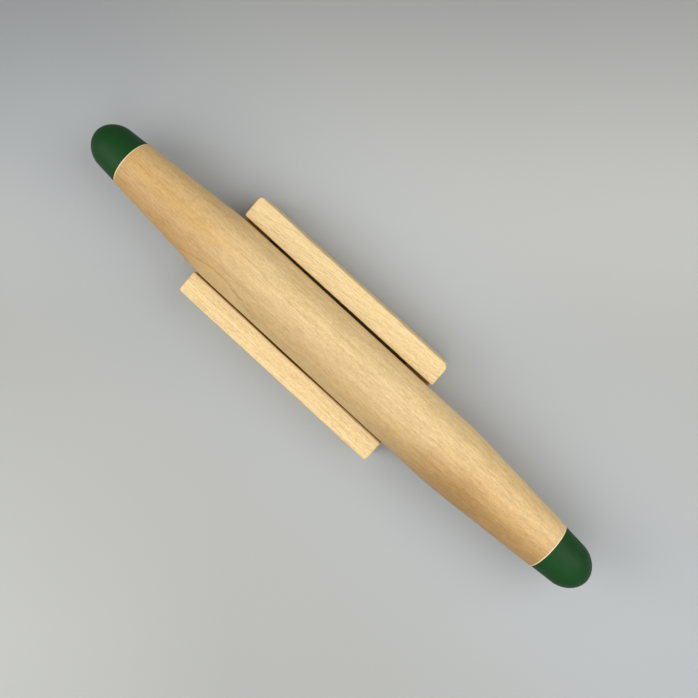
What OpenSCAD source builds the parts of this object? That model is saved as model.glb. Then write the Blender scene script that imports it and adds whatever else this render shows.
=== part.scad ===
// Foot massage roller: a tapered wooden roller with coloured end caps, resting in a low wooden cradle.
// X runs along the roller, Z is up, and the origin is on the floor under the middle of the roller.
// All lengths are in millimetres and all angles in degrees.

/* [Roller] */
// Length of the roller from tip to tip
roller_length = 460; // [420:5:500]
// Diameter of the straight middle
roller_diameter = 50; // [46:1:52]
// Length of the straight middle, up to the corners where the tapers would start
straight_length = 218; // [206:1:224]
// Taper of each end, per side
taper_angle = 4.5; // [3.5:0.25:5]
// Length over which each corner is blended into its taper
blend_length = 20; // [8:2:30]
// Length of each end cap
cap_length = 34.5; // [30:0.5:42]
// Length of the rounded tip of each cap
tip_length = 17.2; // [14:0.2:24]
// Broken edge of the wood at the seam between roller and cap
seam_chamfer = 0.3; // [0.1:0.1:0.6]
// How far the caps lie below the wood at the seam
seam_step = 0.25; // [0.05:0.05:0.4]

/* [Cradle] */
// Length of the two rails
rail_length = 178; // [170:1:200]
// Height of the rails
rail_height = 34; // [33:1:38]
// Thickness of the rails
rail_thickness = 18; // [16.6:0.2:20]
// Clear distance between the rails
rail_gap = 52.6; // [52.2:0.2:56]
// Rounding of the rails' long edges and corners
rail_rounding = 2; // [1:0.5:3]
// Middle of the cradle, measured along X from the middle of the roller
cradle_offset = -24; // [-40:1:0]
// Height of the roller's axis above the tops of the rails
axis_above_rails = 1.5; // [0.5:0.5:3]

/* [Saddles] */
// Distance from the end of a rail to the end face of its saddle
saddle_inset = 2; // [1:0.5:12]
// Width of each saddle along the roller
saddle_width = 22; // [20:1:26]
// Height of each saddle's horns above the underside of the rails
saddle_height = 21; // [19:1:24]
// Thickness of the felt liners
felt_thickness = 2; // [1.5:0.5:3]
// Half of the arc that each liner covers
felt_half_arc = 50; // [40:1:52]

/* [Dowels] */
// Diameter of the dowel in each end cap
cap_dowel_diameter = 12; // [8:1:14]
// Length of the dowel in each end cap
cap_dowel_length = 40; // [30:2:44]
// Diameter of the dowels between saddles and rails
frame_dowel_diameter = 6; // [5:1:6]
// Length of the dowels between saddles and rails
frame_dowel_length = 30; // [24:1:30]
// Distance between the two dowels of a joint
frame_dowel_pitch = 11; // [9:1:12]

/* [Pads] */
// Diameter of the non-slip pads
pad_diameter = 14; // [10:1:16]
// Thickness of the non-slip pads
pad_thickness = 3; // [2:0.5:4]
// Distance from the end of a rail to the middle of its pad
pad_inset = 14; // [10:1:20]

/* [Hidden] */

fine = 120;                      // facets of a full circle
pale_wood = [0.90, 0.78, 0.57];  // waxed beech or birch
dowel_wood = [0.84, 0.72, 0.52];
cap_green = [0.14, 0.27, 0.15];
felt_grey = [0.42, 0.41, 0.38];
pad_black = [0.13, 0.13, 0.13];

roller_radius = roller_diameter / 2;
straight_half = straight_length / 2;
blend_radius = blend_length / 2 / tan(taper_angle / 2);
blend_steps = 8;
seam_x = roller_length / 2 - cap_length;
seam_radius = taper_radius(seam_x);
tip_x = roller_length / 2 - tip_length;
tip_steps = 30;

rail_top = pad_thickness + rail_height;
axis_z = rail_top + axis_above_rails;
rail_y = (rail_gap + rail_thickness) / 2;
running_gap = 0.1;               // between roller and felt
felt_inner = roller_radius + running_gap;
felt_outer = felt_inner + felt_thickness;
felt_width = saddle_width - 2;

glue_gap = 0.05;                 // radial gap around every dowel
end_gap = 0.5;                   // gap at each end of every dowel
dowel_chamfer = 1;
frame_dowel_z = pad_thickness + 3 + frame_dowel_diameter / 2;
frame_dowel_in_rail = frame_dowel_length / 2 - 1;
frame_dowel_y = rail_gap / 2 + frame_dowel_in_rail - frame_dowel_length / 2;
saddle_x = rail_length / 2 - saddle_inset - saddle_width / 2;

// Radius of the tapered part at a distance x from the middle of the roller.
function taper_radius(x) = roller_radius - (x - straight_half) * tan(taper_angle);

// Points [radius, x] of the arc from the straight middle into the right-hand taper.
function blend_points() = [
    for (i = [0:blend_steps])
        let (a = taper_angle * i / blend_steps)
        [roller_radius - blend_radius * (1 - cos(a)), straight_half - blend_length / 2 + blend_radius * sin(a)]
];

// Points [radius, x] of the rounded tip: the taper carried on, drawn in to nothing as an ellipse.
function tip_points() = [
    for (i = [0:tip_steps])
        let (a = 90 * i / tip_steps, x = tip_x + tip_length * sin(a))
        [(taper_radius(x) - seam_step) * cos(a), x]
];

// The same points for the other end, in running order.
function mirrored(points) = [for (i = [len(points) - 1:-1:0]) [points[i][0], -points[i][1]]];

// Turns a half-section drawn as [radius, x] about the roller's axis.
module turned() {
    translate([0, 0, axis_z])
        rotate([0, 90, 0])
            rotate_extrude($fn = fine)
                children();
}

// Round stock lying along X on the roller's axis.
module on_axis(x, d, l) {
    translate([x, 0, axis_z])
        rotate([0, 90, 0])
            cylinder(d = d, h = l, center = true, $fn = fine);
}

// Rectangle with four rounded corners, centred.
module rounded_rectangle(w, h, r) {
    square([w - 2 * r, h], center = true);
    square([w, h - 2 * r], center = true);
    for (x = [-1, 1], y = [-1, 1])
        translate([x * (w / 2 - r), y * (h / 2 - r)])
            circle(r = r, $fn = fine);
}

// Block with all its edges rounded, centred: three rounded outlines cut from one another.
module eased_block(l, w, h, r) {
    intersection() {
        linear_extrude(height = h, center = true)
            rounded_rectangle(l, w, r);
        rotate([90, 0, 0])
            linear_extrude(height = w, center = true)
                rounded_rectangle(l, h, r);
        rotate([90, 0, 90])
            linear_extrude(height = l, center = true)
                rounded_rectangle(w, h, r);
    }
}

// Dowel with chamfered ends, along Z and centred.
module dowel(d, l) {
    rotate_extrude($fn = fine)
        polygon([
            [0, -l / 2], [d / 2 - dowel_chamfer, -l / 2], [d / 2, -l / 2 + dowel_chamfer],
            [d / 2, l / 2 - dowel_chamfer], [d / 2 - dowel_chamfer, l / 2], [0, l / 2]
        ]);
}

// Puts its children at the two dowel places in one joint. side is -1 for the front rail and 1 for the rear.
module at_frame_dowels(end, side) {
    for (pitch = [-1, 1])
        translate([
            cradle_offset + end * saddle_x + pitch * frame_dowel_pitch / 2,
            side * frame_dowel_y,
            frame_dowel_z
        ])
            rotate([90, 0, 0])
                children();
}

// Socket that a frame dowel sits in.
module frame_socket() {
    cylinder(d = frame_dowel_diameter + 2 * glue_gap, h = frame_dowel_length + 2 * end_gap, center = true, $fn = fine);
}

// Socket that a cap dowel sits in. end is -1 for the left end and 1 for the right.
module cap_socket(end) {
    on_axis(end * seam_x, cap_dowel_diameter + 2 * glue_gap, cap_dowel_length + 2 * end_gap);
}

module roller_body() {
    right_side = concat(blend_points(), [
        [taper_radius(seam_x - seam_chamfer), seam_x - seam_chamfer],
        [seam_radius - seam_chamfer, seam_x]
    ]);
    color(pale_wood)
        difference() {
            turned()
                polygon(concat([[0, -seam_x]], mirrored(right_side), right_side, [[0, seam_x]]));
            cap_socket(-1);
            cap_socket(1);
        }
}

module end_cap(end) {
    color(cap_green)
        difference() {
            turned()
                mirror([0, end < 0 ? 1 : 0])
                    polygon(concat([[0, seam_x], [seam_radius - seam_step, seam_x]], tip_points()));
            cap_socket(end);
        }
}

module left_end_cap() {
    end_cap(-1);
}

module right_end_cap() {
    end_cap(1);
}

module cap_dowel(end) {
    color(dowel_wood)
        translate([end * seam_x, 0, axis_z])
            rotate([0, 90, 0])
                dowel(cap_dowel_diameter, cap_dowel_length);
}

module left_cap_dowel() {
    cap_dowel(-1);
}

module right_cap_dowel() {
    cap_dowel(1);
}

module rail(side) {
    color(pale_wood)
        difference() {
            translate([cradle_offset, side * rail_y, pad_thickness + rail_height / 2])
                eased_block(rail_length, rail_thickness, rail_height, rail_rounding);
            at_frame_dowels(-1, side)
                frame_socket();
            at_frame_dowels(1, side)
                frame_socket();
        }
}

module front_rail() {
    rail(-1);
}

module rear_rail() {
    rail(1);
}

module saddle(end) {
    color(pale_wood)
        difference() {
            translate([cradle_offset + end * saddle_x, 0, 0])
                rotate([90, 0, 90])
                    linear_extrude(height = saddle_width, center = true)
                        difference() {
                            translate([-rail_gap / 2, pad_thickness])
                                square([rail_gap, saddle_height]);
                            translate([0, axis_z])
                                circle(r = felt_outer, $fn = fine);
                        }
            at_frame_dowels(end, -1)
                frame_socket();
            at_frame_dowels(end, 1)
                frame_socket();
        }
}

module left_saddle() {
    saddle(-1);
}

module right_saddle() {
    saddle(1);
}

module felt_liner(end) {
    reach = 2 * felt_outer;
    color(felt_grey)
        translate([cradle_offset + end * saddle_x, 0, axis_z])
            rotate([90, 0, 90])
                linear_extrude(height = felt_width, center = true)
                    intersection() {
                        difference() {
                            circle(r = felt_outer, $fn = fine);
                            circle(r = felt_inner, $fn = fine);
                        }
                        polygon([
                            [0, 0],
                            [-reach * sin(felt_half_arc), -reach * cos(felt_half_arc)],
                            [reach * sin(felt_half_arc), -reach * cos(felt_half_arc)]
                        ]);
                    }
}

module left_felt_liner() {
    felt_liner(-1);
}

module right_felt_liner() {
    felt_liner(1);
}

module frame_dowels() {
    color(dowel_wood)
        for (end = [-1, 1], side = [-1, 1])
            at_frame_dowels(end, side)
                dowel(frame_dowel_diameter, frame_dowel_length);
}

module pad(end, side) {
    edge = 0.5;
    color(pad_black)
        translate([cradle_offset + end * (rail_length / 2 - pad_inset), side * rail_y, 0])
            rotate_extrude($fn = fine)
                polygon([
                    [0, 0], [pad_diameter / 2 - edge, 0], [pad_diameter / 2, edge],
                    [pad_diameter / 2, pad_thickness], [0, pad_thickness]
                ]);
}

module pad_front_left() {
    pad(-1, -1);
}

module pad_front_right() {
    pad(1, -1);
}

module pad_rear_left() {
    pad(-1, 1);
}

module pad_rear_right() {
    pad(1, 1);
}

roller_body();
left_end_cap();
right_end_cap();
left_cap_dowel();
right_cap_dowel();
front_rail();
rear_rail();
left_saddle();
right_saddle();
left_felt_liner();
right_felt_liner();
frame_dowels();
pad_front_left();
pad_front_right();
pad_rear_left();
pad_rear_right();
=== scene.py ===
import math
import random

import bpy
from mathutils import Matrix, Vector


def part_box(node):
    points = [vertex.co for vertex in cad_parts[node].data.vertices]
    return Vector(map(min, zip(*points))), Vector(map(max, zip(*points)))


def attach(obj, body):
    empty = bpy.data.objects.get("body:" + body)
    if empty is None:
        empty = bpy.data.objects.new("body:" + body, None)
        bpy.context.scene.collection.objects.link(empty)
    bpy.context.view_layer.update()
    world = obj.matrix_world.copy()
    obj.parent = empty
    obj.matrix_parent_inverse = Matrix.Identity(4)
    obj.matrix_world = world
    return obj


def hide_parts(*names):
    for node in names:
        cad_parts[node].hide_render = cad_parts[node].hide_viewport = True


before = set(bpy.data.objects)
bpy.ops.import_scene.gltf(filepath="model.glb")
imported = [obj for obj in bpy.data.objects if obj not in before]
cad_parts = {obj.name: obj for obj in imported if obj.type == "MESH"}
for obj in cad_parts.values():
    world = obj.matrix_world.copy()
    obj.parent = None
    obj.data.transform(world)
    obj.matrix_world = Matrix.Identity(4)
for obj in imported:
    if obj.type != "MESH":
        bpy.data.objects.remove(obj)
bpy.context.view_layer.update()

MM = 0.001
random.seed(7)

# Sizes of the CAD part that its boxes do not tell
STRAIGHT_HALF = 109 * MM
TAPER = math.tan(math.radians(4.5))
BLEND = 20 * MM
CHAMFER = 0.3 * MM
SEAM_STEP = 0.25 * MM
TIP = 17.2 * MM
GLUE_GAP = 0.05 * MM
CAP_DOWEL_DIAMETER = 12 * MM
CAP_DOWEL_LENGTH = 40 * MM
SOCKET_PLAY = 0.5 * MM
RUNNING_GAP = 0.1 * MM
FELT_THICKNESS = 2 * MM
FELT_HALF_ARC = math.radians(50)
PEG_LENGTH = 30 * MM
PEG_PITCH = 11 * MM

# Sizes read from the CAD parts
body_low, body_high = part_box("roller_body")
seam_x = body_high.x
tip_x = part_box("right_end_cap")[1].x
axis_z = (body_high.z + body_low.z) / 2
roller_radius = (body_high.z - body_low.z) / 2


# ---------------------------------------------------------------- node helpers
def put(tree, kind, inputs=None, **settings):
    """Adds a node, sets its properties and fills or links its inputs."""
    made = tree.nodes.new(kind)
    for key, value in settings.items():
        setattr(made, key, value)
    for key, value in (inputs or {}).items():
        socket = made.inputs[key]
        if isinstance(value, bpy.types.NodeSocket):
            tree.links.new(value, socket)
        else:
            socket.default_value = value
    return made


def calc(tree, operation, a, b=0.0, c=0.0, clamp=False):
    """One step of arithmetic on numbers or sockets."""
    made = put(tree, "ShaderNodeMath", {0: a, 1: b, 2: c}, operation=operation)
    made.use_clamp = clamp
    return made.outputs[0]


def noise(tree, point, scale, detail=3.0, rough=0.5, distortion=0.0):
    """Noise between about 0 and 1 at a point."""
    made = put(tree, "ShaderNodeTexNoise", {"Vector": point, "Scale": scale, "Detail": detail,
                                           "Roughness": rough, "Distortion": distortion})
    return made.outputs[0]


def stretch(tree, point, factors):
    """Scales a point by three factors; noise comes out long along the small ones."""
    return put(tree, "ShaderNodeVectorMath", {0: point, 1: factors}, operation="MULTIPLY").outputs[0]


def remap(tree, value, from_min, from_max, to_min, to_max, smooth=False):
    """Maps one range onto another, clamped at its ends."""
    made = put(tree, "ShaderNodeMapRange", {0: value, 1: from_min, 2: from_max, 3: to_min, 4: to_max})
    made.clamp = True
    if smooth:
        made.interpolation_type = "SMOOTHSTEP"
    return made.outputs[0]


def mix(tree, factor, a, b, blend="MIX"):
    """Mixes two colours."""
    made = put(tree, "ShaderNodeMix", data_type="RGBA", blend_type=blend)
    for index, value in ((0, factor), (6, a), (7, b)):
        socket = made.inputs[index]
        if isinstance(value, bpy.types.NodeSocket):
            tree.links.new(value, socket)
        else:
            socket.default_value = value
    return made.outputs[2]


def colour(red, green, blue):
    """Linear colour from values on the usual 0 to 255 scale."""
    def linear(v):
        v /= 255
        return v / 12.92 if v <= 0.04045 else ((v + 0.055) / 1.055) ** 2.4
    return (linear(red), linear(green), linear(blue), 1.0)


def start_material(name):
    """A material with one principled shader, and the shader's node."""
    made = bpy.data.materials.new(name)
    made.use_nodes = True
    tree = made.node_tree
    tree.nodes.clear()
    shader = put(tree, "ShaderNodeBsdfPrincipled")
    end = put(tree, "ShaderNodeOutputMaterial")
    tree.links.new(shader.outputs[0], end.inputs[0])
    return made, tree, shader


def connect(tree, shader, **inputs):
    """Fills or links inputs of a shader by name; underscores stand for spaces."""
    for key, value in inputs.items():
        socket = shader.inputs[key.replace("_", " ")]
        if isinstance(value, bpy.types.NodeSocket):
            tree.links.new(value, socket)
        else:
            socket.default_value = value


# ---------------------------------------------------------------- materials
WANDER = 6.0        # mm that the heart drifts along the grain
GROUND_TONE = 0.30  # how far plain wood lies from its pale towards its deep colour
PORE_TONE = 0.25    # how much darker a pore is


def wood(name, pale, deep, pith, lean, spacing, grain="x", ring=0.12, band=0.25, fibre=0.4, mottle=0.15,
         seed=0.0, rough=0.46, figure=None):
    """Solid pale hardwood. pith is the heart's place across the grain in mm, lean its slope along the grain
    and spacing the width of a year. ring, band, fibre and mottle are strengths of the grain's layers.
    figure(tree, along, side, up, point) may return a further darkening or lightening and a list of tints:
    stains, painted shade and a painted highlight."""
    made, tree, shader = start_material(name)
    where = put(tree, "ShaderNodeTexCoord").outputs["Object"]
    parts = put(tree, "ShaderNodeSeparateXYZ", {0: where}).outputs
    order = {"x": (0, 1, 2), "y": (1, 0, 2)}[grain]
    along, side, up = [calc(tree, "MULTIPLY", parts[i], 1000.0) for i in order]
    point = put(tree, "ShaderNodeCombineXYZ", {0: along, 1: side, 2: up}).outputs[0]
    point = put(tree, "ShaderNodeVectorMath", {0: point, 1: (seed * 91.0, seed * 37.0, seed * 53.0)},
                operation="ADD").outputs[0]

    # Growth rings: distance from a leaning heart, gently wandering.
    slow = stretch(tree, point, (0.009, 0.03, 0.03))
    slow_b = put(tree, "ShaderNodeVectorMath", {0: slow, 1: (7.3, 1.9, 4.1)}, operation="ADD").outputs[0]
    across = []
    for value, origin, slope, drift in ((side, pith[0], lean[0], slow), (up, pith[1], lean[1], slow_b)):
        value = calc(tree, "SUBTRACT", value, origin)
        value = calc(tree, "MULTIPLY_ADD", along, slope, value)
        wander = calc(tree, "SUBTRACT", noise(tree, drift, 1.0, 2.0), 0.5)
        across.append(calc(tree, "MULTIPLY_ADD", wander, WANDER, value))
    squares = calc(tree, "ADD", calc(tree, "MULTIPLY", across[0], across[0]),
                   calc(tree, "MULTIPLY", across[1], across[1]))
    years = calc(tree, "DIVIDE", calc(tree, "SQRT", squares), spacing)
    uneven = calc(tree, "MULTIPLY", years, 0.55)
    jitter = put(tree, "ShaderNodeTexNoise", {"W": uneven, "Scale": 1.0, "Detail": 1.0},
                 noise_dimensions="1D").outputs[0]
    years = calc(tree, "MULTIPLY_ADD", jitter, 1.6, years)
    year = calc(tree, "FRACT", years)
    rise = remap(tree, year, 0.55, 0.95, 0.0, 1.0, True)
    fall = remap(tree, year, 0.95, 1.0, 1.0, 0.0, True)
    late = calc(tree, "MULTIPLY", rise, fall)
    whole_year = calc(tree, "FLOOR", years)
    tone_of_year = put(tree, "ShaderNodeTexNoise", {"W": whole_year, "Scale": 0.73, "Detail": 0.0},
                       noise_dimensions="1D").outputs[0]
    late = calc(tree, "MULTIPLY", late, remap(tree, tone_of_year, 0.3, 0.7, 0.25, 1.0))

    # Fibres, broad bands, cross-grain mottle and short dark flecks.
    streak = noise(tree, stretch(tree, point, (0.010, 0.30, 0.30)), 1.0, 2.0, 0.5)
    fine = noise(tree, stretch(tree, point, (0.050, 0.9, 0.9)), 1.0, 3.0, 0.65)
    finer = noise(tree, stretch(tree, point, (0.22, 2.0, 2.0)), 1.0, 2.0, 0.6)
    grit = noise(tree, stretch(tree, point, (0.7, 1.1, 1.1)), 1.0, 2.0, 0.6)
    bands = noise(tree, stretch(tree, point, (0.005, 0.06, 0.06)), 1.0, 2.0, 0.5, 0.4)
    curl = noise(tree, stretch(tree, point, (0.11, 0.20, 0.20)), 1.0, 3.0, 0.6, 0.6)
    pores = noise(tree, stretch(tree, point, (0.38, 3.6, 3.6)), 1.0, 0.0)
    pores = remap(tree, pores, 0.72, 0.82, 0.0, 1.0, True)

    amount = calc(tree, "MULTIPLY_ADD", late, ring, GROUND_TONE)
    for value, strength in ((bands, band * 1.6), (streak, fibre * 0.7), (fine, fibre * 1.6),
                            (finer, fibre * 1.5), (grit, fibre * 1.1), (curl, mottle * 2.0)):
        amount = calc(tree, "MULTIPLY_ADD", calc(tree, "SUBTRACT", value, 0.5), strength, amount)
    amount = calc(tree, "MULTIPLY_ADD", pores, PORE_TONE, amount)
    tints = []
    if figure:
        extra, tints = figure(tree, along, side, up, point)
        amount = calc(tree, "ADD", amount, extra)
    amount = calc(tree, "ADD", amount, 0.0, clamp=True)
    base = mix(tree, amount, pale, deep)
    for strength, tint in tints:
        base = mix(tree, strength, base, tint, "MULTIPLY")

    relief = calc(tree, "MULTIPLY_ADD", pores, -0.6, calc(tree, "MULTIPLY", fine, 0.5))
    relief = calc(tree, "MULTIPLY_ADD", finer, 0.35, relief)
    bump = put(tree, "ShaderNodeBump", {"Height": relief, "Strength": 0.35, "Distance": 0.00008})
    blotch = noise(tree, stretch(tree, point, (0.02, 0.05, 0.05)), 1.0, 3.0)
    polish = calc(tree, "MULTIPLY_ADD", calc(tree, "SUBTRACT", blotch, 0.5), 0.16, rough)
    polish = calc(tree, "MULTIPLY_ADD", calc(tree, "SUBTRACT", fine, 0.5), 0.10, polish)
    connect(tree, shader, Base_Color=base, Roughness=polish, Normal=bump.outputs[0])
    connect(tree, shader, Specular_IOR_Level=0.4)
    return made


# Stains, painted shade and a painted highlight, multiplied onto the wood's colour
HEART = (0.69, 0.63, 0.57, 1.0)
AMBER = (0.86, 0.76, 0.61, 1.0)
WARM_AND_SHADE = (0.72, 0.68, 0.62, 1.0)
RIM_HIGHLIGHT = (1.0, 1.10, 1.34, 1.0)
GAP_SHADE = (0.52, 0.45, 0.36, 1.0)

# The flame on the roller, in mm: its middle along the roller, half length, half width and turn from the top
FLAME_MIDDLE = -92.0
FLAME_LENGTH = 36.0
FLAME_WIDTH = 10.5
FLAME_TURN = math.radians(56)
# Its outline and two fainter echoes: place as a share of its size, strength, thickness
FLAME_LINES = ((1.0, 0.34, 0.075), (1.45, 0.09, 0.10), (2.0, 0.06, 0.14))


def roller_figure(tree, along, side, up, point):
    """A pale flame, amber ends, a front that is warmer and painted darker, brown heartwood low on the right,
    and a painted highlight at the rim next to each cap.
    """
    high = calc(tree, "SUBTRACT", up, axis_z * 1000)
    wobble = noise(tree, stretch(tree, point, (0.035, 0.09, 0.09)), 1.0, 3.0, 0.55)
    wobble = calc(tree, "SUBTRACT", wobble, 0.5)

    # The flame: a lens on the flank that faces the front, with a fine outline and fainter echoes.
    sine, cosine = math.sin(FLAME_TURN), math.cos(FLAME_TURN)
    sideways = calc(tree, "MULTIPLY_ADD", side, -cosine, calc(tree, "MULTIPLY", high, -sine))
    facing = calc(tree, "MULTIPLY_ADD", side, -sine, calc(tree, "MULTIPLY", high, cosine))
    reach = calc(tree, "DIVIDE", calc(tree, "SUBTRACT", along, FLAME_MIDDLE), FLAME_LENGTH)
    lens = calc(tree, "MULTIPLY_ADD", calc(tree, "ABSOLUTE", sideways), 1 / FLAME_WIDTH,
                calc(tree, "MULTIPLY", reach, reach))
    lens = calc(tree, "MULTIPLY_ADD", wobble, 0.25, lens)
    near = remap(tree, facing, 8.0, 14.0, 0.0, 1.0)
    inside = remap(tree, lens, 0.88, 1.0, -0.18, 0.0, True)
    extra = calc(tree, "MULTIPLY", inside, near)
    for place, strength, width in FLAME_LINES:
        gap = calc(tree, "DIVIDE", calc(tree, "SUBTRACT", lens, place), width)
        line = calc(tree, "EXPONENT", calc(tree, "MULTIPLY", calc(tree, "MULTIPLY", gap, gap), -1.0))
        extra = calc(tree, "MULTIPLY_ADD", calc(tree, "MULTIPLY", line, near), strength, extra)

    # The front is warmer and darker: partly the wood's own tone, partly painted shade on the flank that faces
    # away from the brighter light. The wood is amber at both ends and brown low on the front of the right
    # half.
    front_tone_and_shade = remap(tree, calc(tree, "MULTIPLY_ADD", wobble, 5.0, side), 11.0, -8.0, 0.0, 1.0)
    front_tone_and_shade = calc(tree, "MULTIPLY", front_tone_and_shade, remap(tree, along, -125.0, -85.0, 0.9, 1.0, True))
    drift = calc(tree, "MULTIPLY_ADD", wobble, 34.0, along)
    amber_left = calc(tree, "MULTIPLY", remap(tree, drift, -70.0, -138.0, 0.0, 1.0, True),
                      remap(tree, side, 14.0, 4.0, 0.7, 1.0, True))
    amber_right = calc(tree, "MULTIPLY", remap(tree, drift, 60.0, 140.0, 0.0, 0.85, True),
                       remap(tree, side, 12.0, 0.0, 0.45, 1.0, True))
    amber = calc(tree, "ADD", amber_left, amber_right)
    crest = calc(tree, "SUBTRACT", remap(tree, along, 70.0, 124.0, -12.0, 1.0, True),
                 remap(tree, along, 126.0, 150.0, 0.0, 4.0, True))
    under = calc(tree, "SUBTRACT", calc(tree, "MULTIPLY_ADD", wobble, 9.0, crest), side)
    heart = calc(tree, "ADD", remap(tree, under, -5.0, 0.0, 0.0, 0.3, True),
                 remap(tree, under, 2.0, 15.0, 0.0, 0.42))
    heart = calc(tree, "MULTIPLY", heart, remap(tree, along, 25.0, 85.0, 0.0, 1.0, True))
    heart = calc(tree, "MULTIPLY", heart, remap(tree, along, 125.0, 165.0, 1.0, 0.7, True))

    # Painted highlight: the broken edge next to each cap is painted paler and bluer, standing in for the
    # light its chamfer catches.
    seam = seam_x * 1000
    rim_highlight = remap(tree, calc(tree, "ABSOLUTE", along), seam - 0.9, seam - 0.55, 0.0, 1.0, True)
    extra = calc(tree, "MULTIPLY_ADD", rim_highlight, -0.6, extra)
    off_rim_highlight = calc(tree, "MULTIPLY_ADD", rim_highlight, -1.0, 1.0)
    return extra, [(calc(tree, "MULTIPLY", front_tone_and_shade, off_rim_highlight), WARM_AND_SHADE), (calc(tree, "MULTIPLY", amber, off_rim_highlight), AMBER),
                   (calc(tree, "MULTIPLY", heart, off_rim_highlight), HEART), (rim_highlight, RIM_HIGHLIGHT)]


def inner_face_shade(tree, along, side, up, point):
    """Painted shade on the inner side of the front rail, darkest at its inner face, standing in for the shade
    of the narrow gap next to the roller.
    """
    depth = calc(tree, "SUBTRACT", side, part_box("front_rail")[1].y * 1000)
    return 0.0, [(remap(tree, depth, -1.6, -0.5, 0.0, 1.0, True), GAP_SHADE)]


def paint(name, base, worn):
    """Satin paint over turned wood: faint roller marks, orange peel, dust and worn patches."""
    made, tree, shader = start_material(name)
    where = put(tree, "ShaderNodeTexCoord").outputs["Object"]
    point = stretch(tree, where, (1000.0, 1000.0, 1000.0))
    cloud = noise(tree, point, 0.045, 3.0, 0.55)
    turned = noise(tree, stretch(tree, point, (1.9, 0.05, 0.05)), 1.0, 2.0)
    grain = noise(tree, stretch(tree, point, (0.05, 1.5, 1.5)), 1.0, 3.0, 0.6)
    peel = noise(tree, point, 1.3, 2.0, 0.5)
    dust = remap(tree, noise(tree, point, 2.6, 0.0), 0.74, 0.80, 0.0, 1.0, True)
    tone = mix(tree, remap(tree, cloud, 0.3, 0.7, 0.0, 1.0), base, worn)
    shade = calc(tree, "MULTIPLY_ADD", calc(tree, "SUBTRACT", grain, 0.5), 0.45, 1.0)
    shade = calc(tree, "MULTIPLY_ADD", calc(tree, "SUBTRACT", turned, 0.5), 0.16, shade)
    tint = put(tree, "ShaderNodeCombineXYZ", {0: shade, 1: shade, 2: shade}).outputs[0]
    tone = mix(tree, 1.0, tone, tint, "MULTIPLY")
    tone = mix(tree, calc(tree, "MULTIPLY", dust, 0.12), tone, (0.25, 0.28, 0.2, 1.0))
    height = calc(tree, "MULTIPLY_ADD", peel, 0.7, calc(tree, "MULTIPLY", grain, 0.35))
    height = calc(tree, "MULTIPLY_ADD", turned, 0.35, height)
    bump = put(tree, "ShaderNodeBump", {"Height": height, "Strength": 0.4, "Distance": 0.00008})
    gloss = calc(tree, "MULTIPLY_ADD", calc(tree, "SUBTRACT", cloud, 0.5), 0.16, 0.52)
    connect(tree, shader, Base_Color=tone, Roughness=gloss, Normal=bump.outputs[0])
    connect(tree, shader, Specular_IOR_Level=0.15)
    return made


def felt(name, base, light):
    """Pressed wool: mottled, matted and soft."""
    made, tree, shader = start_material(name)
    where = put(tree, "ShaderNodeTexCoord").outputs["Object"]
    point = stretch(tree, where, (1000.0, 1000.0, 1000.0))
    mottle = noise(tree, point, 0.35, 4.0, 0.6)
    matted = noise(tree, point, 2.4, 4.0, 0.7, 1.5)
    combed = stretch(tree, point, (1.2, 3.0, 3.0))
    strands = put(tree, "ShaderNodeTexVoronoi", {"Vector": combed, "Scale": 1.0},
                  feature="DISTANCE_TO_EDGE").outputs[0]
    amount = calc(tree, "MULTIPLY_ADD", matted, 0.6, calc(tree, "MULTIPLY", mottle, 0.5), clamp=True)
    tone = mix(tree, remap(tree, amount, 0.3, 0.8, 0.0, 1.0), base, light)
    height = calc(tree, "MULTIPLY_ADD", strands, 0.5, matted)
    bump = put(tree, "ShaderNodeBump", {"Height": height, "Strength": 0.8, "Distance": 0.0004})
    dry = remap(tree, matted, 0.2, 0.8, 0.85, 1.0)
    connect(tree, shader, Base_Color=tone, Roughness=dry, Normal=bump.outputs[0])
    connect(tree, shader, Specular_IOR_Level=0.15, Sheen_Weight=0.35, Sheen_Roughness=0.5)
    return made


def rubber(name, base, dusty):
    """Matte moulded rubber with a little dust."""
    made, tree, shader = start_material(name)
    where = put(tree, "ShaderNodeTexCoord").outputs["Object"]
    point = stretch(tree, where, (1000.0, 1000.0, 1000.0))
    cloud = noise(tree, point, 0.25, 4.0, 0.6)
    stipple = noise(tree, point, 5.0, 2.0, 0.6)
    tone = mix(tree, remap(tree, cloud, 0.35, 0.75, 0.0, 0.7), base, dusty)
    height = calc(tree, "MULTIPLY_ADD", stipple, 0.8, calc(tree, "MULTIPLY", cloud, 0.3))
    bump = put(tree, "ShaderNodeBump", {"Height": height, "Strength": 0.5, "Distance": 0.0001})
    dry = remap(tree, cloud, 0.3, 0.7, 0.62, 0.85)
    connect(tree, shader, Base_Color=tone, Roughness=dry, Normal=bump.outputs[0])
    return made


# ---------------------------------------------------------------- mesh helpers
def piece(name, points, faces, nodes, body, material, sharp=35):
    """A named mesh that stands for CAD nodes and rides on their body."""
    mesh = bpy.data.meshes.new(name)
    mesh.from_pydata([tuple(p) for p in points], [], faces)
    mesh.validate()
    mesh.update()
    mesh.shade_smooth()
    mesh.set_sharp_from_angle(angle=math.radians(sharp))
    mesh.materials.append(material)
    made = bpy.data.objects.new(name, mesh)
    bpy.context.scene.collection.objects.link(made)
    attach(made, body)
    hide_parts(*nodes)
    return made


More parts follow.
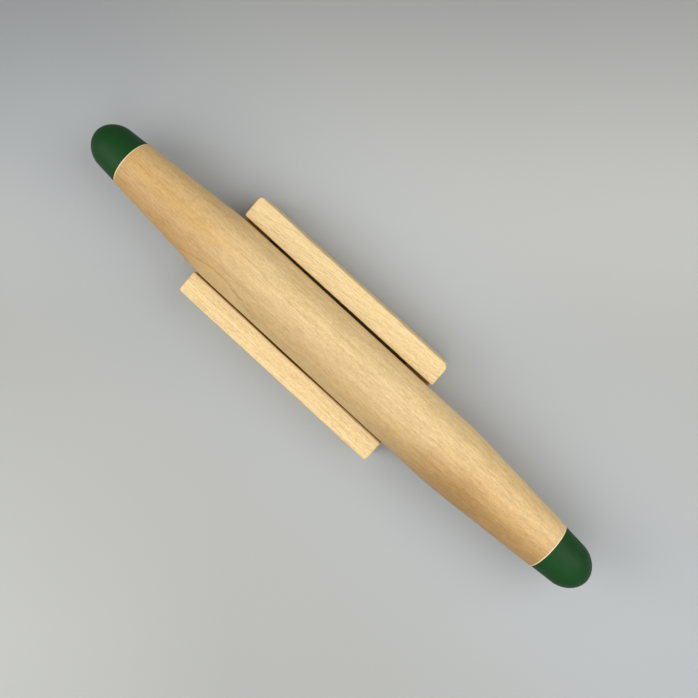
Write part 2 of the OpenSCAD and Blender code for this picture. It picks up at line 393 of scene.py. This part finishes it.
def turn(profile, count, centre=(0.0, 0.0, 0.0), axis="x", flute=None):
    """Points and faces of a closed solid turned from [radius, distance along the axis] points.
    flute(angle, radius, distance) may change a radius."""
    points, faces, rings = [], [], []
    for radius, distance in profile:
        if radius < 1e-7:
            rings.append([len(points)])
            points.append((0.0, 0.0, distance))
            continue
        ring = []
        for step in range(count):
            angle = 2 * math.pi * step / count
            r = flute(angle, radius, distance) if flute else radius
            ring.append(len(points))
            points.append((r * math.cos(angle), r * math.sin(angle), distance))
        rings.append(ring)
    for low, high in zip(rings, rings[1:]):
        for step in range(count):
            following = (step + 1) % count
            if len(low) == 1 and len(high) > 1:
                faces.append((low[0], high[following], high[step]))
            elif len(high) == 1 and len(low) > 1:
                faces.append((low[step], low[following], high[0]))
            elif len(low) > 1:
                faces.append((low[step], low[following], high[following], high[step]))
    placed = []
    for a, b, d in points:
        spot = {"x": (d, a, b), "y": (a, -d, b), "z": (a, b, d)}[axis]
        placed.append(tuple(spot[i] + centre[i] for i in range(3)))
    return placed, faces


def spread(start, end, count):
    """count evenly spaced values after start, up to and with end."""
    return [start + (end - start) * (i + 1) / count for i in range(count)]


def board_outline(half, corners, eases, along, across, arc):
    """The board seen from above: [x, y, outward normal x, y, rounding of the edge there], once round."""
    quarters = ((-1, -1), (1, -1), (1, 1), (-1, 1))
    outline = []
    for n, (sx, sy) in enumerate(quarters):
        r = corners[n]
        middle = (sx * (half.x - r), sy * (half.y - r))
        for i in range(arc + 1):
            angle = math.pi * (1 + n / 2) + math.pi / 2 * i / arc
            ease = eases[n - 1] + (eases[n] - eases[n - 1]) * i / arc
            outline.append((middle[0] + r * math.cos(angle), middle[1] + r * math.sin(angle),
                            math.cos(angle), math.sin(angle), ease))
        following = (n + 1) % 4
        tx, ty = quarters[following]
        after = corners[following]
        lengthwise = n % 2 == 0
        x, y, *normal = outline[-1][:4]
        end_x = tx * (half.x - after) if lengthwise else tx * half.x
        end_y = ty * half.y if lengthwise else ty * (half.y - after)
        count = along if lengthwise else across
        for i in range(1, count):
            t = i / count
            outline.append((x + (end_x - x) * t, y + (end_y - y) * t, *normal, eases[n]))
    return outline


def board(low, high, corners, eases, shape, along=90, across=10, arc=8):
    """A board with rounded upright corners (front left, front right, rear right, rear left) and eased edges:
    eases holds the rounding of its front, right, rear and left edges. shape(point) changes the surface."""
    centre = (low + high) / 2
    half = (high - low) / 2
    outline = board_outline(half, corners, eases, along, across, arc)
    reach = half.x - half.y

    # Rings from the middle of the underside, round its edge, up the sides and over the top: how far the ring
    # is drawn in to the middle, its turn round the edge or share of the height, and bottom, side or top.
    levels = [(1 - n / 6, 0.0, -1) for n in range(6)]
    levels += [(0.0, math.pi / 2 * n / 6, -1) for n in range(7)]
    levels += [(0.0, n / 12, 0) for n in range(1, 12)]
    levels += [(0.0, math.pi / 2 * n / 6, 1) for n in range(7)]
    levels += [(n / 6, 0.0, 1) for n in range(1, 7)]
    points, faces, rings, known = [], [], [], {}
    for inward, turned, end in levels:
        ring = []
        for x, y, nx, ny, ease in outline:
            if end == 0:
                inset, z = 0.0, (-1 + 2 * turned) * (half.z - ease)
            else:
                t = turned if end < 0 else math.pi / 2 - turned
                inset, z = ease * (1 - math.sin(t)), end * (half.z - ease * (1 - math.cos(t)))
            if inward:
                inset, z = ease, end * half.z
            px, py = x - nx * inset, y - ny * inset
            core = max(-reach, min(reach, px))
            px, py = px + (core - px) * inward, py * (1 - inward)
            key = (round(px * 1e6), round(py * 1e6), round(z * 1e6))
            if key not in known:
                known[key] = len(points)
                points.append(tuple(shape(centre + Vector((px, py, z)))))
            ring.append(known[key])
        rings.append(ring)
    total = len(outline)
    for lower, upper in zip(rings, rings[1:]):
        for i in range(total):
            following = (i + 1) % total
            loop = [lower[i], lower[following], upper[following], upper[i]]
            loop = [v for n, v in enumerate(loop) if v != loop[n - 1]]
            if len(set(loop)) > 2:
                faces.append(tuple(loop))
    return points, faces


def join(shapes):
    """Several point and face lists as one."""
    points, faces = [], []
    for more, rings in shapes:
        start = len(points)
        points += more
        faces += [tuple(start + i for i in ring) for ring in rings]
    return points, faces


# ---------------------------------------------------------------- finishes
roller_wood = wood("roller_wood", colour(245, 214, 158), colour(198, 162, 107), pith=(70, -40),
                   lean=(0.03, -0.02), spacing=5.0, ring=0.12, band=0.22, fibre=0.74, mottle=0.22,
                   figure=roller_figure)
rear_wood = wood("rear_rail_wood", colour(246, 219, 163), colour(204, 170, 114), pith=(-80, 20),
                 lean=(-0.24, 0.05), spacing=3.0, ring=0.28, band=0.16, fibre=0.80, mottle=0.16, seed=1.0)
front_wood = wood("front_rail_wood", colour(245, 216, 160), colour(204, 168, 112), pith=(-110, 10),
                  lean=(0.02, 0.02), spacing=3.2, ring=0.24, band=0.18, fibre=0.95, mottle=0.16, seed=2.0,
                  figure=inner_face_shade)
# Painted shade: the saddles' wood is a darker brown, standing in for the deep shadow of the gaps they are
# seen through.
saddle_wood_shaded = wood("saddle_wood_shaded", colour(180, 132, 80), colour(128, 84, 46), pith=(30, -20),
                   lean=(0.05, 0.04), spacing=2.6, grain="y", ring=0.3, fibre=0.5, seed=3.0, rough=0.55)
DOWEL_PALE = colour(226, 192, 138)
DOWEL_DEEP = colour(170, 128, 82)
dowel_wood = wood("dowel_wood", DOWEL_PALE, DOWEL_DEEP, pith=(14, 9), lean=(0.01, 0.02), spacing=1.8,
                  ring=0.35, fibre=0.6, seed=4.0, rough=0.65)
peg_wood = wood("peg_wood", DOWEL_PALE, DOWEL_DEEP, pith=(14, 9), lean=(0.01, 0.02), spacing=1.8,
                grain="y", ring=0.35, fibre=0.6, seed=5.0, rough=0.65)
cap_paint = paint("cap_paint", (0.0066, 0.051, 0.0098, 1), (0.0100, 0.059, 0.0132, 1))
grey_felt = felt("felt", colour(92, 90, 84), colour(150, 146, 136))
pad_rubber = rubber("pad_rubber", colour(26, 26, 27), colour(58, 56, 52))


# ---------------------------------------------------------------- the roller
socket_radius = CAP_DOWEL_DIAMETER / 2 + GLUE_GAP
socket_reach = CAP_DOWEL_LENGTH / 2 + SOCKET_PLAY
SOCKET_CHAMFER = 0.4 * MM
ROUND_STEPS = 160


def taper(x):
    """Radius of the roller at x: straight, a smooth blend, then the taper."""
    past = x - (STRAIGHT_HALF - BLEND / 2)
    if past <= 0:
        return roller_radius
    if past < BLEND:
        return roller_radius - TAPER * past * past / (2 * BLEND)
    return roller_radius - TAPER * (x - STRAIGHT_HALF)


def roller_profile():
    """[radius, x] of the right half of the roller, from its middle along its side and into the socket."""
    blend_start, blend_end = STRAIGHT_HALF - BLEND / 2, STRAIGHT_HALF + BLEND / 2
    xs = [0.0]
    xs += spread(0.0, blend_start, 60)
    xs += spread(blend_start, blend_end, 24)
    xs += spread(blend_end, seam_x - CHAMFER - 0.4 * MM, 40)
    xs += [seam_x - CHAMFER - 0.1 * MM]
    out = [(taper(x), x) for x in xs]
    for i in range(7):
        a = math.pi / 2 * i / 6
        out.append((taper(seam_x) - CHAMFER * (1 - math.cos(a)), seam_x - CHAMFER * (1 - math.sin(a))))
    out += [(socket_radius + SOCKET_CHAMFER, seam_x), (socket_radius, seam_x - SOCKET_CHAMFER),
            (socket_radius, seam_x - socket_reach), (0.0, seam_x - socket_reach)]
    return out


right = roller_profile()
left = [(r, -x) for r, x in reversed(right)]
points, faces = turn(left[:-1] + right, ROUND_STEPS, (0, 0, axis_z))
piece("roller_turned", points, faces, ["roller_body"], "roller", roller_wood)


def cap_profile():
    """[radius, x] of the right-hand cap, from inside its socket round to the tip."""
    out = [(0.0, seam_x + socket_reach), (socket_radius, seam_x + socket_reach),
           (socket_radius, seam_x + SOCKET_CHAMFER), (socket_radius + SOCKET_CHAMFER, seam_x)]
    edge = taper(seam_x) - SEAM_STEP
    edge_round = 0.15 * MM
    for i in range(6):
        a = math.pi / 2 * i / 5
        out.append((edge - edge_round * (1 - math.sin(a)), seam_x + edge_round * (1 - math.cos(a))))
    base = tip_x - TIP
    out += [(taper(x) - SEAM_STEP, x) for x in spread(seam_x + edge_round, base, 12)]
    for i in range(1, 33):
        a = math.pi / 2 * i / 32
        x = base + TIP * math.sin(a)
        out.append(((taper(x) - SEAM_STEP) * math.cos(a) if i < 32 else 0.0, x))
    return out


for sign, side_name in ((-1, "left"), (1, "right")):
    outline = [(r, sign * x) for r, x in cap_profile()]
    if sign < 0:
        outline = outline[::-1]
    points, faces = turn(outline, ROUND_STEPS, (0, 0, axis_z))
    piece(side_name + "_cap_painted", points, faces, [side_name + "_end_cap"], "roller",
          cap_paint)


def dowel(diameter, length, centre, axis, flutes):
    """A fluted dowel with chamfered ends."""
    r, half, chamfer = diameter / 2, length / 2, 1 * MM
    depth = 0.35 * MM

    def cut(angle, radius, distance):
        wave = 0.5 + 0.5 * math.cos(angle * flutes + distance * 90)
        return radius - depth * wave ** 6 * min(1.0, radius / r)

    outline = [(0.0, -half), (r - chamfer, -half), (r, -half + chamfer)]
    outline += [(r, z) for z in spread(-half + chamfer, half - chamfer, 24)]
    outline += [(r - chamfer, half), (0.0, half)]
    return turn(outline, flutes * 10, centre, axis, cut)


for side_name in ("left", "right"):
    low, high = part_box(side_name + "_cap_dowel")
    centre = (low + high) / 2
    points, faces = dowel(high.y - low.y, high.x - low.x, centre, "x", 16)
    piece(side_name + "_dowel_fluted", points, faces, [side_name + "_cap_dowel"], "roller_carrier",
          dowel_wood)

# ---------------------------------------------------------------- the cradle
# How each rail differs from its plain CAD board. In mm: its inner and outer faces moved out, its length
# shortened, its place slipped along, the hollow worn in its inner edge, and the rounding of its upright
# corners and of its edges. lean is its turn in radians and skew the slope of its right end.
RAILS = {
    "front": {"inner": -0.05, "outer": -0.8, "shorter": -0.35, "slip": 0.68, "hollow": 0.85,
              "corners": (2.3, 2.3, 1.5, 1.5), "eases": (0.9, 1.2, 0.8, 1.2), "lean": 0.0025, "skew": 0.0},
    "rear": {"inner": 0.65, "outer": 0.4, "shorter": 1.7, "slip": 0.35, "hollow": 0.0,
             "corners": (1.8, 1.2, 4.8, 2.8), "eases": (0.8, 1.0, 1.4, 1.2), "lean": 0.0012, "skew": 0.02},
}
HOLLOW_MIDDLE = -27 * MM
HOLLOW_LENGTH = 28 * MM


def sanded(spot, phase, low, high, rail):
    """A hand-sanded board: slightly wavy, glued on slipped and turned, its inner face worn hollow towards the
    top by the roller, and its right end cut askew."""
    wave = 0.05 * MM * math.sin(spot.x * 31 + phase) + 0.04 * MM * math.sin(spot.x * 73 + 2 * phase)
    lift = 0.04 * MM * math.sin(spot.x * 43 + 3 * phase) if spot.z > high.z - 8 * MM else 0.0
    middle = (low + high) / 2
    towards_top = min(1.0, max(0.0, (spot.z - middle.z) / (high.z - middle.z)))
    towards_rear = (spot.y - low.y) / (high.y - low.y)
    worn = rail["hollow"] * MM * math.exp(-((spot.x - HOLLOW_MIDDLE) / HOLLOW_LENGTH) ** 2)
    worn *= towards_top * towards_rear
    towards_end = max(0.0, (spot.x - middle.x) / (high.x - middle.x))
    askew = rail["skew"] * (spot.y - middle.y) * towards_end ** 8
    turned = (spot.x - middle.x) * rail["lean"]
    return Vector((spot.x + rail["slip"] * MM - askew, spot.y + wave - worn + turned, spot.z + lift))


for side_name, finish in (("front", front_wood), ("rear", rear_wood)):
    rail = RAILS[side_name]
    low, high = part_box(side_name + "_rail")
    low.x += rail["shorter"] / 2 * MM
    high.x -= rail["shorter"] / 2 * MM
    if side_name == "rear":
        low.y, high.y = low.y + rail["inner"] * MM, high.y + rail["outer"] * MM
    else:
        low.y, high.y = low.y - rail["outer"] * MM, high.y - rail["inner"] * MM
    phase = random.uniform(0, 6)
    points, faces = board(low, high, [v * MM for v in rail["corners"]], [v * MM for v in rail["eases"]],
                          shape=lambda spot: sanded(spot, phase, low, high, rail))
    piece(side_name + "_rail_sanded", points, faces, [side_name + "_rail"], "cradle",
          finish, 60)

felt_in = roller_radius + RUNNING_GAP
felt_out = felt_in + FELT_THICKNESS
for side_name in ("left", "right"):
    low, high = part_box(side_name + "_saddle")
    half_arc = math.acos((axis_z - high.z) / felt_out)
    count = 48
    angles = [half_arc * (1 - 2 * i / count) for i in range(count + 1)]
    outline = [(low.y, low.z), (high.y, low.z), (high.y, high.z)]
    outline += [(felt_out * math.sin(a), axis_z - felt_out * math.cos(a)) for a in angles]
    outline += [(low.y, high.z)]
    total = len(outline)
    points = [(low.x, y, z) for y, z in outline] + [(high.x, y, z) for y, z in outline]
    faces = [tuple(reversed(range(total))), tuple(range(total, 2 * total))]
    faces += [(i, (i + 1) % total, total + (i + 1) % total, total + i) for i in range(total)]
    made = piece(side_name + "_saddle_cut", points, faces, [side_name + "_saddle"], "cradle",
                 saddle_wood_shaded, 30)
    ease = made.modifiers.new("eased", "BEVEL")
    ease.width = 0.6 * MM
    ease.segments = 3
    ease.limit_method = "ANGLE"
    ease.angle_limit = math.radians(40)


STRANDS = 900
STRAND_RADIUS = 0.022 * MM


def loose_fibre(chance, middle_x, width, inner, outer):
    """A thin curved strand that sticks out of a felt strip's edge."""
    edge_side = chance.choice((-1, 1))
    angle = chance.uniform(-FELT_HALF_ARC, FELT_HALF_ARC)
    r = outer - (outer - inner) * chance.uniform(0.15, 0.95)
    start = Vector((middle_x + edge_side * (width / 2 - 0.2 * MM), r * math.sin(angle),
                    axis_z - r * math.cos(angle)))
    run = chance.uniform(0.5, 1.3) * MM
    tangent = Vector((0, math.cos(angle), math.sin(angle))) * chance.uniform(-1, 1)
    heading = Vector((edge_side * chance.uniform(0.3, 1.0), 0, 0)) + tangent
    heading.normalize()
    bend = Vector((0, chance.uniform(-1, 1), chance.uniform(-1, 1))) * 0.25 * MM
    spots = [start, start + heading * run * 0.5 + bend * 0.6, start + heading * run + bend * 0.2]
    across = heading.cross(Vector((0.3, 0.5, 0.8))).normalized()
    other = heading.cross(across)
    points, faces = [], []
    for n, spot in enumerate(spots):
        radius = STRAND_RADIUS * (1 - 0.35 * n)
        for k in range(3):
            a = 2 * math.pi * k / 3
            points.append(tuple(spot + (across * math.cos(a) + other * math.sin(a)) * radius))
    for n in range(2):
        for k in range(3):
            m = (k + 1) % 3
            faces.append((3 * n + k, 3 * n + m, 3 * n + 3 + m, 3 * n + 3 + k))
    faces += [(2, 1, 0), (6, 7, 8)]
    return points, faces


def felt_strip(middle_x, width, inner, outer, seed):
    """A matted strip bent round the roller, with a rounded, uneven edge and loose fibres."""
    chance = random.Random(seed)
    around, along = 120, 48
    thick = outer - inner
    points, faces = [], []
    ripple = [(chance.uniform(0.5, 3), chance.uniform(0.5, 3), chance.uniform(0, 6.3)) for _ in range(14)]

    def rough(u, v):
        return sum(math.sin(a * u * 40 + b * v * 17 + c) for a, b, c in ripple) / len(ripple)

    edge = 0.45 * MM
    outline = [(-width / 2 + edge + (width - 2 * edge) * i / along, 1.0) for i in range(along + 1)]
    rounded = [(width / 2 - edge + edge * math.sin(a), 1 - (edge / thick) * (1 - math.cos(a)))
               for a in (math.pi / 6, math.pi / 3, math.pi / 2)]
    outline += rounded
    outline += [(width / 2, 0.0), (-width / 2, 0.0)]
    outline += [(-x, h) for x, h in reversed(rounded)]
    total = len(outline)
    for j in range(around + 1):
        t = 2 * j / around - 1
        angle = FELT_HALF_ARC * t
        thin = 1 - 0.35 * max(0.0, (abs(t) - 0.985) / 0.015)
        for x, h in outline:
            bump = 0.09 * MM * (0.5 + 0.5 * rough(x / width, t)) if h > 0.1 else 0.0
            r = outer - thick * h * thin + bump
            wave = 0.12 * MM * rough(t * 2, h) if abs(x) > width / 2 - edge * 1.1 else 0.0
            points.append((middle_x + x - math.copysign(abs(wave), x), r * math.sin(angle),
                           axis_z - r * math.cos(angle)))
    for j in range(around):
        for i in range(total):
            a, b = j * total + i, j * total + (i + 1) % total
            faces.append((b, a, a + total, b + total))
    faces.append(tuple(range(total)))
    faces.append(tuple(reversed(range(around * total, (around + 1) * total))))
    fibres = [loose_fibre(chance, middle_x, width, inner, outer) for _ in range(STRANDS)]
    return join([(points, faces)] + fibres)


for n, side_name in enumerate(("left", "right")):
    low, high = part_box(side_name + "_felt_liner")
    points, faces = felt_strip((low.x + high.x) / 2, high.x - low.x, felt_in, felt_out, 11 + n)
    piece(side_name + "_felt_pressed", points, faces, [side_name + "_felt_liner"], "cradle",
          grey_felt, 60)

pegs = []
low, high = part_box("frame_dowels")
saddles = [sum((v.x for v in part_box(s + "_saddle"))) / 2 for s in ("left", "right")]
peg_z = (low.z + high.z) / 2
peg_diameter = high.z - low.z
for middle in saddles:
    for shift in (-PEG_PITCH / 2, PEG_PITCH / 2):
        for y in (low.y + PEG_LENGTH / 2, high.y - PEG_LENGTH / 2):
            pegs.append(dowel(peg_diameter, PEG_LENGTH, (middle + shift, y, peg_z), "y", 12))
points, faces = join(pegs)
piece("frame_dowels_fluted", points, faces, ["frame_dowels"], "cradle", peg_wood)

for name in ("pad_front_left", "pad_front_right", "pad_rear_left", "pad_rear_right"):
    low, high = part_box(name)
    centre = (low + high) / 2
    r, thick, edge = (high.x - low.x) / 2, high.z - low.z, 0.7 * MM
    outline = [(0.0, 0.0)]
    for groove in (r * 0.3, r * 0.5, r * 0.7):
        outline += [(groove - 0.35 * MM, 0.0), (groove - 0.2 * MM, 0.25 * MM),
                    (groove + 0.2 * MM, 0.25 * MM), (groove + 0.35 * MM, 0.0)]
    for i in range(5):
        a = math.pi / 2 * i / 4
        outline.append((r - edge + edge * math.sin(a), edge - edge * math.cos(a)))
    outline += [(r, thick - 0.3 * MM), (r - 0.3 * MM, thick), (0.0, thick)]
    points, faces = turn(outline, 72, (centre.x, centre.y, low.z), "z")
    piece(name + "_rubber", points, faces, [name], "cradle", pad_rubber)

# ---------------------------------------------------------------- floor, light and camera
ground, tree, shader = start_material("floor_paper")
where = put(tree, "ShaderNodeTexCoord").outputs["Object"]
soft = noise(tree, where, 3.0, 3.0, 0.5)
tone = mix(tree, remap(tree, soft, 0.3, 0.7, 0.0, 1.0), (0.440, 0.446, 0.430, 1),
           (0.452, 0.458, 0.442, 1))
x, y = put(tree, "ShaderNodeSeparateXYZ", {0: where}).outputs[:2]

# The room's uneven light: distance from the middle towards the top and the right of the picture.
UP = (-0.676, 0.737)
RIGHT = (0.737, 0.676)
away = calc(tree, "MULTIPLY_ADD", x, UP[0], calc(tree, "MULTIPLY", y, UP[1]))
across = calc(tree, "MULTIPLY_ADD", x, RIGHT[0], calc(tree, "MULTIPLY", y, RIGHT[1]))
light = calc(tree, "MULTIPLY", remap(tree, away, 0.10, 0.32, 1.0, 0.63, True),
             remap(tree, away, -0.02, 0.10, 0.985, 1.085, True))
light = calc(tree, "MULTIPLY", light, remap(tree, across, -0.10, -0.26, 1.0, 0.955))
near_left = calc(tree, "MULTIPLY", remap(tree, away, 0.03, -0.22, 0.0, 1.0),
                 remap(tree, across, -0.09, -0.27, 0.0, 0.22))
far_right = calc(tree, "MULTIPLY", remap(tree, away, 0.06, 0.16, 0.0, 1.0),
                 remap(tree, across, 0.0, 0.25, 0.0, -0.045))
light = calc(tree, "ADD", light, near_left)
light = calc(tree, "ADD", light, far_right)

# Painted light and shade near the roller: the floor is a little cooler there, against the warm light the wood
# bounces, and is painted darker towards the roller's left end and lighter towards its right end.
painted_light_reach = remap(tree, calc(tree, "ABSOLUTE", y), 0.05, 0.16, 1.0, 0.0, True)
shade_slant = remap(tree, x, -0.17, 0.12, -0.04, 0.06, True)
light = calc(tree, "MULTIPLY", light, calc(tree, "MULTIPLY_ADD", painted_light_reach, shade_slant, 1.0))
light = put(tree, "ShaderNodeCombineXYZ", {0: light, 1: light, 2: light}).outputs[0]
tone = mix(tree, 1.0, tone, light, "MULTIPLY")
tone = mix(tree, painted_light_reach, tone, (0.98, 1.0, 1.045, 1), "MULTIPLY")

# Painted shadow: a brown strip of floor under the gap at the rear rail, between the saddles, standing in for
# the deep, wood-tinted shade there.
CRADLE_MIDDLE = -0.024
from_gap = calc(tree, "ABSOLUTE", calc(tree, "SUBTRACT", y, 0.022))
from_middle = calc(tree, "ABSOLUTE", calc(tree, "SUBTRACT", x, CRADLE_MIDDLE))
strip = calc(tree, "MULTIPLY", remap(tree, from_gap, 0.004, 0.007, 1.0, 0.0),
             remap(tree, from_middle, 0.080, 0.086, 1.0, 0.0))
tone = mix(tree, strip, tone, (1.0, 0.66, 0.32, 1), "MULTIPLY")
paper = noise(tree, where, 900.0, 2.0, 0.6)
bump = put(tree, "ShaderNodeBump", {"Height": paper, "Strength": 0.1, "Distance": 0.0001})
connect(tree, shader, Base_Color=tone, Roughness=0.85, Specular_IOR_Level=0.1, Normal=bump.outputs[0])
mesh = bpy.data.meshes.new("floor")
REACH = 4.0
mesh.from_pydata([(-REACH, -REACH, 0), (REACH, -REACH, 0), (REACH, REACH, 0), (-REACH, REACH, 0)], [],
                 [(0, 1, 2, 3)])
mesh.materials.append(ground)
floor = bpy.data.objects.new("floor", mesh)
bpy.context.scene.collection.objects.link(floor)


SOFTBOX_SIDE = 0.8


def softbox(name, place, watts):
    """A large square light aimed at the roller."""
    lamp = bpy.data.lights.new(name, "AREA")
    lamp.shape = "RECTANGLE"
    lamp.size, lamp.size_y = SOFTBOX_SIDE, SOFTBOX_SIDE
    lamp.energy = watts
    made = bpy.data.objects.new(name, lamp)
    bpy.context.scene.collection.objects.link(made)
    made.location = place
    made.rotation_euler = (Vector((0, 0, 0.02)) - Vector(place)).to_track_quat("-Z", "Y").to_euler()


softbox("softbox_left", (-0.578, -0.578, 0.736), 5.40)
softbox("softbox_right", (0.520, 0.520, 0.818), 5.72)
softbox("softbox_top", (0.175, -0.147, 1.076), 3.72)
softbox("softbox_near", (0.637, -0.446, 0.778), 1.28)

world = bpy.data.worlds.new("room")
bpy.context.scene.world = world
world.use_nodes = True
sky = world.node_tree.nodes["Background"].inputs
sky["Color"].default_value = (1.0, 1.0, 0.98, 1)
sky["Strength"].default_value = 0.263

camera = bpy.data.cameras.new("camera")
camera.sensor_width = 36
camera.lens = 45.76
camera.clip_start = 0.01
camera.clip_end = 50
eye = bpy.data.objects.new("camera", camera)
bpy.context.scene.collection.objects.link(eye)
place = Vector((43.33 * MM, 76.0 * MM, axis_z + 607.72 * MM))
target = Vector((5.64 * MM, 7.16 * MM, axis_z))
roll = -0.7361
ahead = (target - place).normalized()
level = Vector((math.sin(roll), math.cos(roll), 0))
across = ahead.cross(level).normalized()
upward = across.cross(ahead)
eye.matrix_world = Matrix.Translation(place) @ Matrix((across, upward, -ahead)).transposed().to_4x4()
bpy.context.scene.camera = eye
bpy.context.scene.view_settings.view_transform = "Standard"
